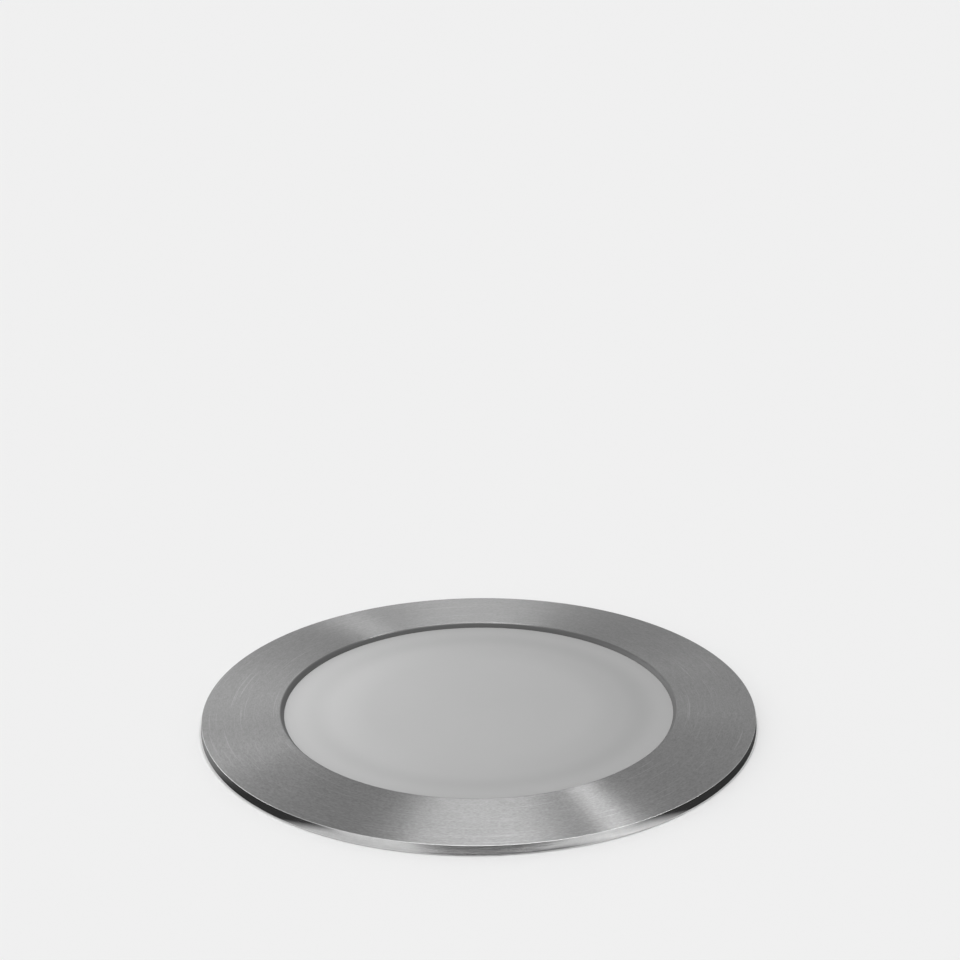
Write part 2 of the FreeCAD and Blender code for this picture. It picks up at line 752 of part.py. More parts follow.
def spring_screws():
    screw = socket_screw(spring_thickness + spring_screw_bite)
    seat = spring_pad_radius + spring_thickness
    return [placed(screw, on_circle(seat, degrees, spring_screw_z()), on_circle(1, degrees, 0))
            for degrees in spring_places()]


# ---- buried sleeve

def seat_gasket():
    """The soft ring under the flange, which stands on the ledge in the sleeve's rim."""
    outer = sleeve_inner_radius + rim_ledge_width - seat_gasket_clearance
    return washer(collar_outer_radius, outer, -seat_gasket_thickness, 0)


def mounting_sleeve():
    """A moulded tube: a ledged rim flush with the ground, anchor ribs, two bosses and an open foot."""
    ledge_radius = sleeve_inner_radius + rim_ledge_width
    foot = -sleeve_height
    sleeve = turned(
        (sleeve_outer_radius, -rim_bead_height), (sleeve_outer_radius + rim_bead, -rim_bead_height),
        (sleeve_outer_radius + rim_bead, 0), (ledge_radius, 0), (ledge_radius, -seat_gasket_thickness),
        (sleeve_inner_radius, -seat_gasket_thickness), (sleeve_inner_radius, foot + base_lip_thickness),
        (sleeve_inner_radius - base_lip, foot + base_lip_thickness), (sleeve_inner_radius - base_lip, foot),
        (sleeve_outer_radius, foot),
    )
    ribs = [anchor_rib(-anchor_rib_top - anchor_rib_pitch * step) for step in range(anchor_rib_count)]
    ribs += around(stiffener(), stiffener_count, 180.0 / stiffener_count)
    bosses = [along_hub(side, hub_flange_radius, boss_outer_x, boss_inner_x) for side in (-1, 1)]
    hole_radius = hub_tube_radius + push_clearance
    holes = [along_hub(side, hole_radius, boss_outer_x, boss_inner_x) for side in (-1, 1)]
    return sleeve.multiFuse(ribs + bosses).cut(Part.makeCompound(holes)).removeSplitter()


def stiffener():
    """An upright rib on the sleeve's wall, from the first anchor rib up to the rim's bead."""
    depth = sleeve_wall / 2 + stiffener_reach
    corner = Vector(sleeve_outer_radius - sleeve_wall / 2, -stiffener_thickness / 2, -anchor_rib_top)
    return Part.makeBox(depth, stiffener_thickness, anchor_rib_top - rim_bead_height / 2, corner)


def anchor_rib(middle_z):
    """A ring that keys the sleeve into its bedding, with sloping flanks."""
    root = sleeve_outer_radius - sleeve_wall / 2
    tip = sleeve_outer_radius + anchor_rib_reach
    half = anchor_rib_thickness / 2
    return turned((root, middle_z - 2 * half), (tip, middle_z - half),
                  (tip, middle_z + half), (root, middle_z + 2 * half))


def along_hub(side, radius, outer_x, inner_x):
    """A cylinder along X, from its outer end to its inner end, on the hub of one side."""
    start = Vector(side * outer_x, 0, hub_z)
    return Part.makeCylinder(radius, outer_x - inner_x, start, Vector(-side, 0, 0))


def conduit_hubs():
    """A flanged socket through each boss, bored for the conduit's end with a step to stop it."""
    hubs = []
    for side in (-1, 1):
        hub = along_hub(side, hub_flange_radius, hub_end, boss_outer_x)
        hub = hub.fuse(along_hub(side, hub_tube_radius, boss_outer_x, hub_inner_x))
        hub = hub.cut(along_hub(side, hub_bore_radius, hub_end, hub_inner_x + hub_stop_length))
        hubs.append(hub.cut(along_hub(side, hub_bore_radius - conduit_stop, hub_end, hub_inner_x)))
    return hubs


def hub_locknuts():
    """The nuts that hold the hubs, each a ring with notches for a spanner, against a boss's inside."""
    nuts = []
    for side in (-1, 1):
        ring = along_hub(side, hub_flange_radius, boss_inner_x, boss_inner_x - hub_locknut_thickness)
        ring = ring.cut(along_hub(side, hub_tube_radius + thread_clearance, boss_inner_x, hub_inner_x))
        for step in range(hub_notch_count):
            angle = math.radians(360.0 / hub_notch_count * (step + 0.5))
            middle = Vector(side * boss_inner_x, hub_flange_radius * math.cos(angle),
                            hub_z + hub_flange_radius * math.sin(angle))
            length = hub_locknut_thickness
            ring = ring.cut(Part.makeCylinder(hub_notch_radius, length, middle, Vector(-side, 0, 0)))
        nuts.append(ring)
    return nuts


def blanking_plug():
    """A push-in plug for the conduit entry that is not used: a hollow shank and a bevelled head."""
    radius = hub_bore_radius - push_clearance
    rim = hub_flange_radius - plug_bevel
    inner = radius - plug_wall
    plug = turned(
        (0, plug_head), (rim - plug_bevel, plug_head), (rim, plug_head - plug_bevel), (rim, 0), (radius, 0),
        (radius, -plug_shank), (inner, -plug_shank), (inner, -plug_face), (0, -plug_face),
    )
    return placed(plug, Vector(-hub_end, 0, hub_z), Vector(-1, 0, 0))


os.makedirs("parts", exist_ok=True)
export("trim_ring", trim_ring())
export("lens_glass", lens_glass())
export("lens_gasket", lens_gasket())
export("body_o_ring", body_o_ring())
export("lamp_body", lamp_body())
export("ring_screws", *ring_screws())
export("reflector", reflector())
export("thermal_pad", thermal_pad())
export("led_board", led_board())
export("leds", *leds())
export("board_screws", *board_screws())
export("driver", driver())
export("driver_screws", *driver_screws())
export("lead_grommet", lead_grommet())
export("led_leads", *led_leads())
export("rear_gasket", rear_gasket())
export("rear_cap", rear_cap())
export("rear_cap_screws", *rear_cap_screws())
export("gland_body", gland_body())
export("gland_o_ring", gland_o_ring())
export("gland_seal", gland_seal())
export("gland_nut", gland_nut())
export("gland_locknut", gland_locknut())
export("breather_vent", breather_vent())
export("leaf_springs", *leaf_springs())
export("spring_screws", *spring_screws())
export("seat_gasket", seat_gasket())
export("mounting_sleeve", mounting_sleeve())
export("conduit_hubs", *conduit_hubs())
export("hub_locknuts", *hub_locknuts())
export("blanking_plug", blanking_plug())
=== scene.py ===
import math

import bpy
from mathutils import Matrix, Quaternion, Vector


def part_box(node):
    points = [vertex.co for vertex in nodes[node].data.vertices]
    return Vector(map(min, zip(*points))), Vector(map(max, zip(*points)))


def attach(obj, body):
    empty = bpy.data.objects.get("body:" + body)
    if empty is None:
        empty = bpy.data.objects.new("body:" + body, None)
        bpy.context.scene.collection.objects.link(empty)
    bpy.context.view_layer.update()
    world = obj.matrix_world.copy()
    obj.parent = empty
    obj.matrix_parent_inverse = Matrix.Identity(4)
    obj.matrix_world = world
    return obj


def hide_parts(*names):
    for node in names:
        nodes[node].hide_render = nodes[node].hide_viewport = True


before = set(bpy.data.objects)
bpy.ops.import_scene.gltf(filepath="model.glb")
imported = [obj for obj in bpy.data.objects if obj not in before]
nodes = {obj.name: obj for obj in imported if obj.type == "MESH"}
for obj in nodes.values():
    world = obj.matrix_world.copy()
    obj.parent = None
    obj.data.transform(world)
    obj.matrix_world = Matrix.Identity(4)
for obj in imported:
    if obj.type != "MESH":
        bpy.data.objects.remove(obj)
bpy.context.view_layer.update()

# Camera. It stands about eight ring radii from the ring and looks at the ground some way behind it,
# so the ring lies below the middle of the picture, as in the photograph.
edge_height = 0.0024        # the top of the ring's polished edge, which the camera's place counts from
camera_distance = 0.595
camera_elevation = math.radians(26.18)
camera_look_down = math.radians(20.26)
camera_roll = math.radians(-0.52)
camera_side_turn = math.radians(-0.10)
sensor_width = 36.0         # in millimetres, like the focal length
focal_length = 82.2

camera_data = bpy.data.cameras.new("camera")
camera_data.sensor_width = sensor_width
camera_data.lens = focal_length
camera = bpy.data.objects.new("camera", camera_data)
bpy.context.scene.collection.objects.link(camera)
camera.location = (
    0.0,
    -camera_distance * math.cos(camera_elevation),
    edge_height + camera_distance * math.sin(camera_elevation),
)
camera.rotation_mode = "QUATERNION"
camera.rotation_quaternion = (
    Quaternion((0, 0, 1), camera_side_turn)
    @ Quaternion((1, 0, 0), math.pi / 2 - camera_look_down)
    @ Quaternion((0, 0, 1), camera_roll)
)
bpy.context.scene.camera = camera
bpy.context.scene.view_settings.view_transform = "Standard"


# Floor and lamps. A pale plain with a hole for the sleeve lies under a white sky, which lights matte
# surfaces more from the left. Softboxes overhead, at the right, at the left and behind show only in
# what mirrors them.
class Signal:
    """A socket's value in a finish: Python's operators on it add the nodes that work them out."""

    def __init__(self, finish, socket):
        self.finish = finish
        self.socket = socket

    def math(self, operation, *others):
        inputs = dict(enumerate((self,) + others))
        return self.finish.node("ShaderNodeMath", {"operation": operation}, inputs)["Value"]

    def __add__(self, other):
        return self.math("ADD", other)

    def __sub__(self, other):
        return self.math("SUBTRACT", other)

    def __rsub__(self, other):
        return self.math("MULTIPLY_ADD", -1.0, other)

    def __mul__(self, other):
        return self.math("MULTIPLY", other)

    __radd__ = __add__


class Finish:
    """A material or a world, with the few calls that write its nodes."""

    def __init__(self, owner):
        owner.use_nodes = True
        self.owner = owner
        self.tree = owner.node_tree
        self.tree.nodes.clear()

    def node(self, kind, settings=None, inputs=None):
        """Adds a node, sets it up, then fills its sockets; returns its outputs by name."""
        added = self.tree.nodes.new(kind)
        for name, value in (settings or {}).items():
            if name == "stops":
                # A new ramp has two stops, and the rest are added.
                ramp = added.color_ramp.elements
                for stop, (place, tone) in zip(ramp, value[:2]):
                    stop.position, stop.color = place, grey(tone)
                for place, tone in value[2:]:
                    ramp.new(place).color = grey(tone)
            else:
                setattr(added, name, value)
        for name, value in (inputs or {}).items():
            if isinstance(value, Signal):
                self.tree.links.new(value.socket, added.inputs[name])
            else:
                added.inputs[name].default_value = value
        # Reversed, so that of two outputs with one name the first is kept.
        return {out.name: Signal(self, out) for out in reversed(added.outputs) if out.enabled}

    def place(self):
        return self.node("ShaderNodeTexCoord")["Object"]

    def polar(self, place):
        """Radius, height and direction, as a level vector one long, about the upright axis."""
        part = self.node("ShaderNodeSeparateXYZ", None, {"Vector": place})
        level = self.node("ShaderNodeCombineXYZ", None, {"X": part["X"], "Y": part["Y"]})["Vector"]
        radius = self.node("ShaderNodeVectorMath", {"operation": "LENGTH"}, {0: level})["Value"]
        direction = self.node("ShaderNodeVectorMath", {"operation": "NORMALIZE"}, {0: level})["Vector"]
        return radius, part["Z"], direction

    def stretch(self, place, x, y, z):
        """The place times these, so that a pattern on it is finer along the larger ones."""
        inputs = {0: place, 1: (x, y, z)}
        return self.node("ShaderNodeVectorMath", {"operation": "MULTIPLY"}, inputs)["Vector"]

    def noise(self, place, scale, detail=2.0):
        inputs = {"Vector": place, "Scale": scale, "Detail": detail}
        return self.node("ShaderNodeTexNoise", None, inputs)["Fac"]

    def rise(self, value, low, high):
        """Climbs smoothly from 0 to 1 while a value goes from low to high."""
        inputs = {"Value": value, "From Min": low, "From Max": high}
        return self.node("ShaderNodeMapRange", {"interpolation_type": "SMOOTHSTEP"}, inputs)["Result"]

    def relief(self, height, depth):
        """A bump of that depth in metres, where the height goes from 0 to 1."""
        inputs = {"Height": height, "Strength": 1.0, "Distance": depth}
        return self.node("ShaderNodeBump", None, inputs)["Normal"]

    def mix(self, share, low, high):
        """A colour between two, by a share from 0 to 1. A single number is a grey."""
        low = grey(low) if isinstance(low, float) else low
        high = grey(high) if isinstance(high, float) else high
        # Sockets 6 and 7 are the node's two colours.
        return self.node("ShaderNodeMix", {"data_type": "RGBA"}, {0: share, 6: low, 7: high})["Result"]

    def surface(self, **sockets):
        """The one shader, with its sockets named in Python's way: base_color is Base Color."""
        titles = {name: name.replace("_", " ").title().replace("Ior", "IOR") for name in sockets}
        named = {titles[name]: value for name, value in sockets.items()}
        shader = self.node("ShaderNodeBsdfPrincipled", None, named)["BSDF"]
        self.node("ShaderNodeOutputMaterial", None, {"Surface": shader})
        return self


def grey(tone):
    return (tone, tone, tone, 1.0)


def new_finish(name):
    return Finish(bpy.data.materials.new(name))


def dress(piece, finish):
    piece.data.materials.clear()
    piece.data.materials.append(finish.owner)


hole_radius = 0.0700
floor_rings = (hole_radius, 0.3, 1.5, 9.0)
floor_drop = 0.0001         # the gap up to the ring's foot, through which light from below reaches it
floor_grey = 0.87
sheet_sides = 256
sky_grey = 1.0
sky_lean = 0.3              # the sky is this much brighter at the left horizon than overhead


def flat_ring(name, radii):
    """A level sheet round the ring, made of bands between these radii."""
    bpy.ops.object.select_all(action="DESELECT")
    bpy.ops.mesh.primitive_circle_add(vertices=sheet_sides, radius=radii[0])
    sheet = bpy.context.object
    sheet.name = name
    bpy.ops.object.mode_set(mode="EDIT")
    bpy.ops.mesh.select_all(action="SELECT")
    for inner, outer in zip(radii, radii[1:]):
        bpy.ops.mesh.extrude_edges_move()
        growth = outer / inner
        bpy.ops.transform.resize(value=(growth, growth, 1), center_override=(0, 0, 0))
    bpy.ops.mesh.select_all(action="SELECT")
    bpy.ops.mesh.normals_make_consistent(inside=False)
    bpy.ops.object.mode_set(mode="OBJECT")
    if sheet.data.polygons[0].normal.z < 0:
        sheet.data.flip_normals()
    return sheet


floor = flat_ring("studio_floor", floor_rings)
floor.data.transform(Matrix.Translation((0, 0, -floor_drop)))
ground = new_finish("ground")
seen_from_below = ground.node("ShaderNodeNewGeometry")["Backfacing"]
pale = ground.node("ShaderNodeBsdfDiffuse", None, {"Color": grey(floor_grey)})["BSDF"]
clear = ground.node("ShaderNodeBsdfTransparent")["BSDF"]
one_sided = ground.node("ShaderNodeMixShader", None, {0: seen_from_below, 1: pale, 2: clear})["Shader"]
ground.node("ShaderNodeOutputMaterial", None, {"Surface": one_sided})
dress(floor, ground)

# The camera, mirrors and the glass see a backdrop of the floor's grey. The rest gets the sky's light.
world = bpy.data.worlds.new("studio")
bpy.context.scene.world = world
sky = Finish(world)
rays = sky.node("ShaderNodeLightPath")
seen = rays["Is Camera Ray"].math("MAXIMUM", rays["Is Glossy Ray"])
seen = seen.math("MAXIMUM", rays["Is Transmission Ray"])
heading = sky.node("ShaderNodeTexCoord")["Generated"]
rightward = sky.node("ShaderNodeSeparateXYZ", None, {"Vector": heading})["X"]
sky_colour = sky.mix(seen, sky_grey - rightward * sky_lean, floor_grey)
backdrop = sky.node("ShaderNodeBackground", None, {"Color": sky_colour, "Strength": 1.0})["Background"]
sky.node("ShaderNodeOutputWorld", None, {"Surface": backdrop})


def softbox(name, place, along, size, strength):
    """A lamp that faces the ring's middle. Its size is across a direction, then along it."""
    data = bpy.data.lights.new(name, "AREA")
    data.shape = "RECTANGLE"
    data.size, data.size_y = size
    data.energy = strength * size[0] * size[1] * math.pi
    lamp = bpy.data.objects.new(name, data)
    bpy.context.scene.collection.objects.link(lamp)
    back = Vector(place).normalized()
    side = Vector(along).cross(back).normalized()
    lamp.location = place
    lamp.rotation_mode = "QUATERNION"
    lamp.rotation_quaternion = Matrix((side, back.cross(side), back)).transposed().to_quaternion()
    lamp.visible_camera = False
    lamp.visible_diffuse = False
    return lamp


backwards = (0, 1, 0)
slanted = (0.5, -0.866, 0)
upright = (0, 0, 1)
softboxes = (
    ("overhead_softbox", (0.03, -0.1, 1.5), backwards, (0.88, 0.65), 9.7),
    ("overhead_back_softbox", (0.0, 0.8, 1.25), backwards, (0.4, 0.5), 2.5),
    ("right_strip", (0.69, 0.15, 1.32), slanted, (0.07, 0.9), 41.0),
    ("left_panel", (-1.4, 0.2, 0.6), upright, (0.5, 0.7), 2.5),
    ("left_back_panel", (-1.2, 0.85, 0.55), upright, (0.8, 0.7), 4.1),
    ("back_left_panel", (-0.75, 1.35, 0.5), upright, (0.9, 0.8), 0.42),
    ("back_panel", (-0.4, 1.4, 0.45), upright, (0.35, 0.5), 0.93),
)
for name, place, along, size, strength in softboxes:
    softbox(name, place, along, size, strength)


# Cards round the set, which only reflections see. The polished edge leans back, so its front shows
# the low far cards near the horizon, and its sides show the near cards that lie on the ground.
card_strength = 2.0         # a stop holds its tone divided by this, which keeps it below 1
near_card_rings = (0.0755, 0.11, 0.15)
near_card_height = 0.0002
near_card_fade = (0.102, 0.130)     # between these radii the near cards turn to the floor's grey
far_foot_radius = 3.0
far_top_radius = far_foot_radius * 1.001
far_height = 0.34


def card_finish(name, turns, fade=None):
    """Glowing card whose grey goes by its turn from the front, in degrees, with the right positive."""
    card = new_finish(name)
    part = card.node("ShaderNodeSeparateXYZ", None, {"Vector": card.place()})
    front_turn = part["X"].math("ARCTAN2", 0.0 - part["Y"])
    share = front_turn * (0.5 / math.pi) + 0.5
    stops = [(0.5 + turn / 360.0, tone / card_strength) for turn, tone in turns]
    tone = card.node("ShaderNodeValToRGB", {"stops": stops}, {"Fac": share})["Color"]
    if fade:
        radius, _, _ = card.polar(card.place())
        tone = card.mix(card.rise(radius, *fade), tone, floor_grey / card_strength)
    glow = card.node("ShaderNodeEmission", None, {"Color": tone, "Strength": card_strength})["Emission"]
    card.node("ShaderNodeOutputMaterial", None, {"Surface": glow})
    return card


def only_reflected(sheet):
    sheet.visible_camera = False
    sheet.visible_diffuse = False
    sheet.visible_transmission = False
    sheet.visible_volume_scatter = False
    sheet.visible_shadow = False


near_cards = flat_ring("near_cards", near_card_rings)
near_cards.data.transform(Matrix.Translation((0, 0, near_card_height)))
dress(near_cards, card_finish("near_card_grey", [
    (-130, 0.50), (-79, 0.34), (-68, 0.22), (-61, 0.08), (-56, 0.045), (-42, 0.045), (-35, 0.75),
    (-14, 0.80), (-8, 0.16), (17, 0.16), (23, 0.7), (30, 1.10), (38, 0.75), (45, 0.045),
    (66, 0.045), (75, 0.07), (90, 0.09), (130, 0.20),
], near_card_fade))
only_reflected(near_cards)

# The far cards' outer circle is lifted, so that they stand round the set as one low wall.
far_cards = flat_ring("far_cards", (far_foot_radius, far_top_radius))
for corner in far_cards.data.vertices:
    if corner.co.xy.length > (far_foot_radius + far_top_radius) / 2:
        corner.co.z = far_height
dress(far_cards, card_finish("far_card_grey", [
    (-90, 0.87), (-70, 0.70), (-60, 1.00), (-44, 1.00), (-28, 0.88), (-20, 0.38), (-10, 0.17),
    (24, 0.17), (35, 0.48), (43, 1.00), (50, 1.85), (59, 1.20), (68, 0.70), (90, 0.87), (104, 0.55),
    (112, 0.42), (122, 0.48), (130, 0.36), (140, 0.24), (152, 0.26), (175, 0.45),
]))
only_reflected(far_cards)


# Mounting sleeve: the buried tube that the lamp unit stands in. It is one black polypropylene
# moulding with a bead round its rim, upright ribs, three anchor ribs and a flat boss on each side.
def moulded(name, greys, roughness):
    """Moulded plastic: clouded colour, a spark-eroded mould's fine texture, and a parting line."""
    plastic = new_finish(name)
    place = plastic.place()
    cloud = plastic.noise(place, scale=45.0, detail=4.0)
    spark = plastic.noise(place, scale=3000.0, detail=1.0)
    flow = plastic.noise(plastic.stretch(place, 160.0, 160.0, 14.0), scale=1.0)
    from_middle = plastic.node("ShaderNodeSeparateXYZ", None, {"Vector": place})["Y"].math("ABSOLUTE")
    parting = 1.0 - plastic.rise(from_middle, low=0.00008, high=0.0003)
    tone = plastic.mix(cloud * 0.6 + flow * 0.4, *greys)
    tone = plastic.mix(parting * 0.5, tone, greys[1])
    dullness = roughness[0] + spark * (roughness[1] - roughness[0])
    normal = plastic.relief(spark * 0.3 + parting, depth=0.00008)
    return plastic.surface(base_color=tone, roughness=dullness, normal=normal)


sleeve_plastic = moulded("black_sleeve_moulding", greys=(0.035, 0.085), roughness=(0.42, 0.68))
dress(nodes["mounting_sleeve"], sleeve_plastic)


# Conduit hubs and their locknuts: two flanged nylon sockets for 20 mm conduit. Each goes through
# its boss from outside, and a notched nut inside the sleeve pulls its flange against the boss.
hub_plastic = moulded("hub_nylon", greys=(0.05, 0.10), roughness=(0.30, 0.48))
dress(nodes["conduit_hubs"], hub_plastic)
dress(nodes["hub_locknuts"], hub_plastic)


# Blanking plug: a hollow push-in cap in the conduit entry that isn't used. A softer, greyer
# plastic than the hub, pressed in by hand.
plug_plastic = moulded("plug_polythene", greys=(0.16, 0.24), roughness=(0.35, 0.55))
dress(nodes["blanking_plug"], plug_plastic)


# Lamp body: a die casting with a ring of upright fins, powder coated grey. The land under the
# glass's gasket and the face on the rear gasket are turned bright after coating.
def cast_finish(name, bare_above, bare_below):
    """Powder-coated die casting, bare and turned above one height and below another."""
    coat_end = 0.00004
    tool_pace = 22000.0     # radians of the tool marks' wave to the metre
    casting = new_finish(name)
    place = casting.place()
    radius, height, _ = casting.polar(place)
    orange_peel = casting.noise(place, scale=900.0)
    speck = casting.rise(casting.noise(place, scale=2400.0, detail=1.0), low=0.62, high=0.75)
    cloud = casting.noise(place, scale=60.0, detail=3.0)
    tool_lines = (radius * tool_pace).math("SINE") * 0.5 + 0.5
    bare = casting.rise(height, bare_above - coat_end, bare_above)
    bare = bare.math("MAXIMUM", 1.0 - casting.rise(height, bare_below, bare_below + coat_end))
    powder = casting.mix(cloud, 0.21, 0.29)
    powder = casting.mix(speck * 0.5, powder, 0.42)
    tone = casting.mix(bare, powder, casting.mix(tool_lines, 0.34, 0.46))
    roughness = 0.48 + orange_peel * 0.18 - bare * 0.22
    normal = casting.relief(orange_peel * (1.0 - bare) + tool_lines * bare * 0.15, depth=0.00006)
    return casting.surface(base_color=tone, metallic=bare, roughness=roughness, normal=normal)


body_low, body_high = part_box("lamp_body")
dress(nodes["lamp_body"], cast_finish("grey_body_casting", body_high.z, body_low.z))


# Thermal pad and LED board: a grey gap-filling sheet with a glass-cloth weave in it, under an
# aluminium board with white solder mask. Wide copper tracks show as faint steps under the mask.
board_low, board_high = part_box("led_board")
outer_led_circle = 0.01298
outer_led_count = 9
track_edge = (0.0034, 0.0036)       # the track ends between these distances from the outer LEDs' circle
track_gap = (0.006, 0.010)          # half the gap in it, as shares of the turn between two LEDs
mask_foot = board_high.z - 0.00012
mask_full = board_high.z - 0.00006
wire_x = 0.0015
wire_y = 0.024
wire_pad_radius = 0.0013
wire_pad_edge = 0.00008
weave_pace = 5200.0                 # radians of the weave's wave to the metre

pad_rubber = new_finish("thermal_pad_rubber")
threads = pad_rubber.node("ShaderNodeSeparateXYZ", None, {"Vector": pad_rubber.place()})
weave = (threads["X"] * weave_pace).math("SINE") * (threads["Y"] * weave_pace).math("SINE") * 0.5 + 0.5
filler = pad_rubber.noise(pad_rubber.place(), scale=700.0, detail=3.0)
pad_rubber.surface(
    base_color=pad_rubber.mix(filler * 0.7 + weave * 0.3, (0.34, 0.36, 0.41, 1), (0.50, 0.51, 0.55, 1)),
    roughness=0.62 + filler * 0.2,
    normal=pad_rubber.relief(weave, depth=0.00003),
)
dress(nodes["thermal_pad"], pad_rubber)

board = new_finish("led_board_mask")
place = board.place()
radius, height, _ = board.polar(place)
spot = board.node("ShaderNodeSeparateXYZ", None, {"Vector": place})
off_track = board.rise((radius - outer_led_circle).math("ABSOLUTE"), *track_edge)
round_turn = spot["Y"].math("ARCTAN2", spot["X"]) * (outer_led_count / math.pi / 2.0)
between_leds = (round_turn.math("FRACT") - 0.5).math("ABSOLUTE")
gap = 1.0 - board.rise(between_leds, *track_gap)
copper = (1.0 - off_track) * (1.0 - gap)
across_pad = spot["X"].math("ABSOLUTE") - wire_x
along_pad = spot["Y"] - wire_y
from_pad = (across_pad * across_pad + along_pad * along_pad).math("SQRT")
solder = 1.0 - board.rise(from_pad, wire_pad_radius, wire_pad_radius + wire_pad_edge)
bare_edge = 1.0 - board.rise(height, mask_foot, mask_full)
metal = solder.math("MAXIMUM", bare_edge)
mask_tone = board.mix(copper, (0.80, 0.80, 0.77, 1), (0.87, 0.87, 0.85, 1))
board.surface(
    base_color=board.mix(metal, mask_tone, 0.58),
    metallic=metal,
    roughness=0.34 + board.noise(place, scale=1500.0) * 0.14,
    normal=board.relief(copper + solder, depth=0.00008),
)
dress(nodes["led_board"], board)


# LEDs: twelve white ceramic packages soldered to the board, each under a low lens of yellow
# phosphor in silicone.
phosphor_foot = board_high.z + 0.00038
phosphor_edge = 0.00003
package = new_finish("led_package")
place = package.place()
height = package.node("ShaderNodeSeparateXYZ", None, {"Vector": place})["Z"]
phosphor = package.rise(height, phosphor_foot, phosphor_foot + phosphor_edge)
grains = package.noise(place, scale=9000.0, detail=1.0)
yellow = package.mix(grains, (0.86, 0.62, 0.13, 1), (0.94, 0.78, 0.26, 1))
package.surface(
    base_color=package.mix(phosphor, package.mix(grains, 0.76, 0.86), yellow),
    roughness=0.5 - phosphor * 0.3,
    coat_weight=phosphor * 0.6,
)
dress(nodes["leds"], package)


# Board screws, and the finish of every screw in the light: stainless socket heads, turned and then
# tumbled, so they are satin with fine scratches that lie all ways.
screw_steel = new_finish("tumbled_screw_steel")
place = screw_steel.place()
tumbled = screw_steel.noise(place, scale=5200.0, detail=3.0)
dull = screw_steel.noise(place, scale=420.0)
screw_steel.surface(
    base_color=screw_steel.mix(dull * 0.6 + tumbled * 0.4, 0.24, 0.42),
    metallic=1.0,
    roughness=0.22 + tumbled * 0.22,
    normal=screw_steel.relief(tumbled, depth=0.00001),
)
dress(nodes["board_screws"], screw_steel)


# Driver: a potted supply in a black plastic case with an ear at each end, screwed up against the
# underside of the web in the rear chamber.
case_plastic = moulded("driver_case_plastic", greys=(0.045, 0.085), roughness=(0.48, 0.70))
dress(nodes["driver"], case_plastic)
dress(nodes["driver_screws"], screw_steel)


# Lead grommet and leads: a rubber bush snapped into the web, with a black and a red silicone wire
# through it from the driver to the board. This rubber is also that of the light's black seals.
def rubber(name, greys, grain):
    """Moulded rubber: nearly matte, with talc in its pores."""
    seal = new_finish(name)
    place = seal.place()
    pores = seal.noise(place, scale=grain)
    talc = seal.rise(seal.noise(place, scale=260.0, detail=4.0), low=0.50, high=0.78)
    tone = seal.mix(talc * 0.4 + pores * 0.2, *greys)
    dullness = 0.62 + pores * 0.22
    return seal.surface(base_color=tone, roughness=dullness, normal=seal.relief(pores, depth=0.00002))


seal_rubber = rubber("black_seal_rubber", greys=(0.018, 0.075), grain=2600.0)
dress(nodes["lead_grommet"], seal_rubber)

insulation = new_finish("lead_insulation")
place = insulation.place()
rightward_side = insulation.node("ShaderNodeSeparateXYZ", None, {"Vector": place})["X"]
red_wire = insulation.rise(rightward_side, low=-0.0001, high=0.0001)
bloom = insulation.noise(place, scale=900.0, detail=3.0)
insulation.surface(
    base_color=insulation.mix(
        red_wire,
        insulation.mix(bloom, 0.025, 0.06),
        insulation.mix(bloom, (0.42, 0.030, 0.025, 1), (0.58, 0.06, 0.05, 1)),
    ),
    roughness=0.32 + bloom * 0.16,
)
dress(nodes["led_leads"], insulation)


# Rear gasket and rear cap: a flat rubber ring under a cast cover, which six screws pull against the
# body's rear flange. The cap is coated like the body, and its centring rim's top is turned bare.
cap_low, cap_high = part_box("rear_cap")
below_cap = cap_low.z - 0.001
dress(nodes["rear_gasket"], seal_rubber)
dress(nodes["rear_cap"], cast_finish("grey_cap_casting", cap_high.z, below_cap))
dress(nodes["rear_cap_screws"], screw_steel)


# Cable gland: a threaded nylon body through the cap with a ring seal under its collar, a locknut
# inside, a rubber insert to grip a cable, and a domed nut that squeezes the insert.
gland_plastic = moulded("black_gland_nylon", greys=(0.028, 0.055), roughness=(0.26, 0.44))
for part in ("gland_body", "gland_nut", "gland_locknut"):
    dress(nodes[part], gland_plastic)
dress(nodes["gland_o_ring"], seal_rubber)
dress(nodes["gland_seal"], rubber("gland_insert_rubber", greys=(0.03, 0.10), grain=1800.0))


# Breather vent: a nylon plug through the cap, which lets the sealed lamp unit breathe through the
# slots in its head as it warms and cools.
dress(nodes["breather_vent"], moulded("vent_nylon", greys=(0.06, 0.10), roughness=(0.30, 0.50)))


# Reflector: a spun aluminium cone, painted matte white, whose flat rim lies on the body's seat. The
# spinning's fine circles show through the paint.
spinning_pace = 9000.0      # radians of the circles' wave to the metre
white_paint = new_finish("white_reflector_paint")
place = white_paint.place()
radius, _, _ = white_paint.polar(place)
spinning_lines = (radius * spinning_pace).math("SINE") * 0.15 + 0.15
paint_grain = white_paint.noise(place, scale=2000.0)
white_paint.surface(
    base_color=white_paint.mix(paint_grain * 0.7 + spinning_lines, 0.80, 0.90),
    roughness=0.50 + paint_grain * 0.16,
    normal=white_paint.relief(spinning_lines * 2.0 + paint_grain, depth=0.00002),
)
dress(nodes["reflector"], white_paint)


# Lens gasket: a flat ring of translucent white silicone between the glass and the body's land. Some
# of the light that meets it spreads inside it.
silicone = new_finish("white_silicone")
haze = silicone.noise(silicone.place(), scale=500.0, detail=3.0)
silicone.surface(
    base_color=silicone.mix(haze, 0.64, 0.76),
    roughness=0.38 + haze * 0.2,
    subsurface_weight=0.3,
    subsurface_scale=0.002,
)
dress(nodes["lens_gasket"], silicone)


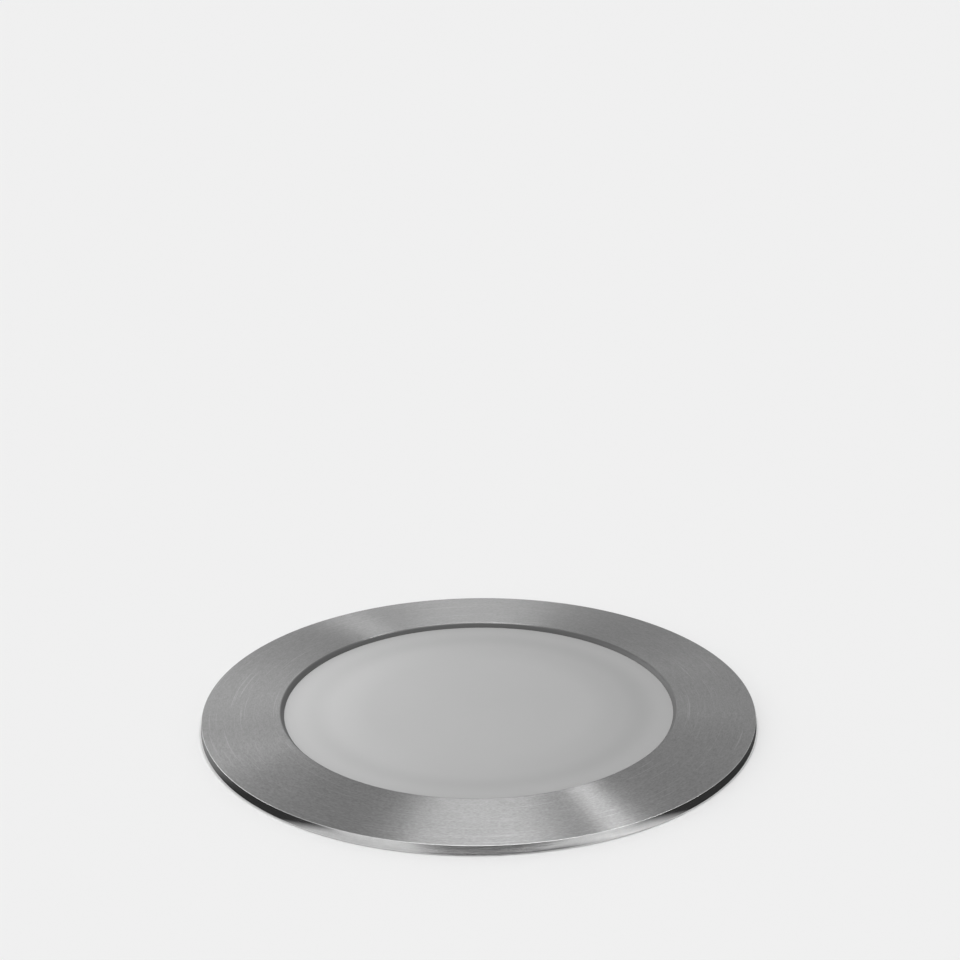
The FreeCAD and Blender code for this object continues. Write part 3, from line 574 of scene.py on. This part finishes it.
# Glass: a toughened disc, satin etched on top, that the ring's lip clamps down on the gasket. It is
# shaded as if its face fell a little to the rim, with a soft ring of painted shade for the seat under
# it.
lens_recess = 0.0012
opening_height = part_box("trim_ring")[1].z
lens_height = opening_height - lens_recess
lens_sides = 192
lens_edge_round = 0.0005
painted_shade_ring_start = 0.0385
painted_shade_ring_middle = 0.0440
painted_shade_ring_end = 0.0490
fall_start = 0.030
fall_end = 0.0525
fall_depth = 0.0022
axis_radius = 1e-6          # an outline that starts and ends here closes on the axis
merge_gap = 3e-6
sharp_turn = math.radians(30.0)     # edges that turn more than this are rounded
bevel_segments = 3


def turned(name, outline, steps, body):
    """A piece drawn as on a lathe: a circle pulled along an outline of (radius, height)."""
    bpy.ops.object.select_all(action="DESELECT")
    on_axis = outline[0][0] == axis_radius
    radius, height = outline[0]
    bpy.ops.mesh.primitive_circle_add(vertices=steps, radius=radius)
    piece = bpy.context.object
    piece.name = name
    bpy.ops.object.mode_set(mode="EDIT")
    bpy.ops.mesh.select_all(action="SELECT")
    bpy.ops.transform.translate(value=(0, 0, height))
    for next_radius, next_height in outline[1:] + ([] if on_axis else outline[:1]):
        bpy.ops.mesh.extrude_edges_move()
        growth = next_radius / radius
        bpy.ops.transform.resize(value=(growth, growth, 1), center_override=(0, 0, 0))
        bpy.ops.transform.translate(value=(0, 0, next_height - height))
        radius, height = next_radius, next_height
    bpy.ops.mesh.select_all(action="SELECT")
    bpy.ops.mesh.remove_doubles(threshold=merge_gap)
    bpy.ops.mesh.normals_make_consistent(inside=False)
    bpy.ops.object.mode_set(mode="OBJECT")
    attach(piece, body)
    return piece


def soften(piece, width):
    """Rounds the piece's sharp edges and shades it smooth between them."""
    bevel = piece.modifiers.new("rounded_edges", "BEVEL")
    bevel.width = width
    bevel.segments = bevel_segments
    bevel.limit_method = "ANGLE"
    bevel.angle_limit = sharp_turn
    bpy.ops.object.select_all(action="DESELECT")
    piece.select_set(True)
    bpy.context.view_layer.objects.active = piece
    bpy.ops.object.modifier_apply(modifier=bevel.name)
    bpy.ops.object.shade_smooth_by_angle(angle=sharp_turn)
    flatten = piece.modifiers.new("flat_faces_stay_flat", "WEIGHTED_NORMAL")
    flatten.keep_sharp = True
    bpy.ops.object.modifier_apply(modifier=flatten.name)


lens_low, lens_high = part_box("lens_glass")
lens = turned("frosted_lens", [
    (axis_radius, lens_low.z),
    (lens_high.x, lens_low.z),
    (lens_high.x, lens_height),
    (axis_radius, lens_height),
], lens_sides, "lamp_unit")
soften(lens, lens_edge_round)
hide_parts("lens_glass")

frosted = new_finish("satin_etched_glass")
place = frosted.place()
radius, _, _ = frosted.polar(place)
etch = frosted.noise(place, scale=2200.0)
drift = frosted.noise(place, scale=28.0, detail=3.0)
# Painted shade: a soft darker ring in the glass's colour, darkest at its middle radius.
painted_shade_ring = frosted.rise(radius, painted_shade_ring_start, painted_shade_ring_middle)
painted_shade_ring = painted_shade_ring * (1.0 - frosted.rise(radius, painted_shade_ring_middle, painted_shade_ring_end))
glass_tone = frosted.mix(etch * 0.3 + drift * 0.7, 0.325, 0.355)
glass_tone = frosted.mix(painted_shade_ring * 0.08, glass_tone, 0.05)
face_height = 1.0 - frosted.rise(radius, fall_start, fall_end)
frosted.surface(
    base_color=glass_tone,
    roughness=0.52 + etch * 0.08,
    transmission_weight=0.12,
    ior=1.5,
    normal=frosted.relief(face_height + etch * 0.004, depth=fall_depth),
)
dress(lens, frosted)

# A low lamp at the left lights only the glass, which makes the glass palest on that side.
side_lamp = softbox("glass_side_lamp", (-0.16, 0.03, 0.10), backwards, (0.06, 0.06), 17.0)
side_lamp.data.use_shadow = False
side_lamp.visible_diffuse = True
side_lamp.visible_glossy = False
side_lamp.light_linking.receiver_collection = bpy.data.collections.new("glass_only")
side_lamp.light_linking.receiver_collection.objects.link(lens)


# Body seal: a cord squeezed between the body's spigot and the ring's collar. It is of the same black
# rubber as the lead grommet.
dress(nodes["body_o_ring"], seal_rubber)


# Trim ring: one steel turning. Its top is brushed in circles, its outer edge is polished, and the
# wall of its opening rolls over and leans in to the glass, with painted shade on that wall that fades
# out over the roll above it. The collar below ground is left as turned.
ring_low, ring_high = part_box("trim_ring")
ring_sides = 288
edge_lean = 0.00065
edge_round = 0.00006
wall_foot_radius = 0.0523
wall_slope = math.radians(53.0)
lip_round = 0.0008          # the opening's edge is rolled over to this radius
lip_steps = 4
painted_shade_from = 0.5        # the painted shade starts this share of the roll's radius in from its top
lip_shade_blend = 0.0001
collar_inner_radius = 0.0575
collar_outer_radius = 0.063
flange_radius = ring_high.x
edge_top_radius = flange_radius - edge_lean
wall_drop = lens_recess - lip_round * (1 - math.cos(wall_slope))
lip_radius = wall_foot_radius + wall_drop / math.tan(wall_slope) + lip_round * math.sin(wall_slope)
wall_top_radius = lip_radius - lip_round * painted_shade_from

ring = turned("brushed_trim_ring", [
    (flange_radius, 0.0),
    (edge_top_radius, edge_height),
] + [
    (lip_radius - lip_round * math.sin(turn), opening_height - lip_round * (1 - math.cos(turn)))
    for turn in [wall_slope * step / lip_steps for step in range(lip_steps + 1)]
] + [
    (wall_foot_radius, lens_height),
    (collar_inner_radius, lens_height),
    (collar_inner_radius, ring_low.z),
    (collar_outer_radius, ring_low.z),
    (collar_outer_radius, 0.0),
], ring_sides, "lamp_unit")
soften(ring, edge_round)
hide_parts("trim_ring")

brushed = new_finish("brushed_steel_ring")
place = brushed.place()
radius, _, direction = brushed.polar(place)


def brush_marks(finish, across, direction, fineness, turns):
    """Arcs round the axis: so many to the metre across them, and about so many in a turn."""
    along = finish.node("ShaderNodeSeparateXYZ", None, {"Vector": direction})
    inputs = {"X": across * fineness, "Y": along["X"] * turns, "Z": along["Y"] * turns}
    pattern = finish.node("ShaderNodeCombineXYZ", None, inputs)["Vector"]
    return finish.noise(pattern, scale=1.0, detail=3.0)


fine = brush_marks(brushed, radius, direction, fineness=3400.0, turns=76.0)
coarse = brush_marks(brushed, radius, direction, fineness=1500.0, turns=26.0)
scratches = brush_marks(brushed, radius, direction, fineness=2600.0, turns=2.5)
hairline = brushed.rise(scratches, low=0.61, high=0.70)
worn = brushed.noise(place, scale=55.0, detail=3.0)
share = fine * 0.62 + coarse * 0.26 + worn * 0.12
# Painted shade: the brushed steel darkens across the roll towards the opening's wall.
painted_lip_shade = 1.0 - brushed.rise(radius, wall_top_radius, lip_radius + lip_shade_blend)
steel = brushed.mix(painted_lip_shade, brushed.mix(share, 0.076, 0.320), 0.13)
brushed.surface(
    base_color=brushed.mix(hairline * 0.35, steel, 0.36),
    metallic=1.0,
    roughness=0.29 + share * 0.08,
    anisotropic=0.98,
    anisotropic_rotation=0.25,
    normal=brushed.relief(share, depth=0.000004),
)
dress(ring, brushed)

polished = new_finish("polished_steel_edge")
place = polished.place()
_, height, direction = polished.polar(place)
draw_marks = brush_marks(polished, height, direction, fineness=2600.0, turns=14.0)
haze = polished.noise(place, scale=420.0, detail=3.0)
polished.surface(
    base_color=polished.mix(draw_marks * 0.5 + haze * 0.5, 0.50, 0.72),
    metallic=1.0,
    roughness=0.04 + draw_marks * 0.07,
    normal=polished.relief(haze * 0.5 + draw_marks * 0.5, depth=0.000003),
)

lathed = new_finish("lathed_steel_collar")
place = lathed.place()
radius, height, direction = lathed.polar(place)
tool_marks = brush_marks(lathed, radius + height, direction, fineness=5000.0, turns=1.0)
lathed.surface(
    base_color=lathed.mix(tool_marks, 0.34, 0.56),
    metallic=1.0,
    roughness=0.28 + tool_marks * 0.16,
    normal=lathed.relief(tool_marks, depth=0.00001),
)

# The opening's wall is painted near black, as shade in the recess over the glass.
wall = new_finish("painted_shade_opening_wall")
place = wall.place()
radius, height, direction = wall.polar(place)
wall_marks = brush_marks(wall, radius + height, direction, fineness=4200.0, turns=3.0)
wall.surface(
    base_color=wall.mix(wall_marks, 0.065, 0.105),
    roughness=0.40 + wall_marks * 0.14,
    specular_ior_level=0.25,
    normal=wall.relief(wall_marks, depth=0.000006),
)

# The brushed finish is the ring's first, and stays on every face that none of these takes.
polished_slot = 1
lathed_slot = 2
wall_slot = 3
for finish in (polished, lathed, wall):
    ring.data.materials.append(finish.owner)
for face in ring.data.polygons:
    if face.center.xy.length > edge_top_radius and face.center.z > 0.0:
        face.material_index = polished_slot
    elif face.center.xy.length < wall_top_radius and face.center.z > lens_height:
        face.material_index = wall_slot
    elif face.center.z < lens_height + edge_round:
        face.material_index = lathed_slot


# Ring screws: six socket heads that come up through the body's flange into the ring's collar. None
# of them shows from above.
dress(nodes["ring_screws"], screw_steel)


# Leaf springs: three bowed strips of spring steel, screwed to pads on the body, that reach out nearly
# to the sleeve's wall. They have a rolled grain along the strip and a straw tint from tempering.
strip = new_finish("tempered_spring_strip")
place = strip.place()
rolled = strip.noise(strip.stretch(place, 5200.0, 5200.0, 120.0), scale=1.0)
tint = strip.noise(place, scale=70.0)
strip.surface(
    base_color=strip.mix(tint, (0.30, 0.285, 0.25, 1), (0.46, 0.44, 0.40, 1)),
    metallic=1.0,
    roughness=0.24 + rolled * 0.18,
    normal=strip.relief(rolled, depth=0.000008),
)
dress(nodes["leaf_springs"], strip)
dress(nodes["spring_screws"], screw_steel)


# Seat gasket: a soft ring under the ring's flange, which stands on the ledge in the sleeve's rim. It
# is of the same black rubber as the other seals.
dress(nodes["seat_gasket"], seal_rubber)
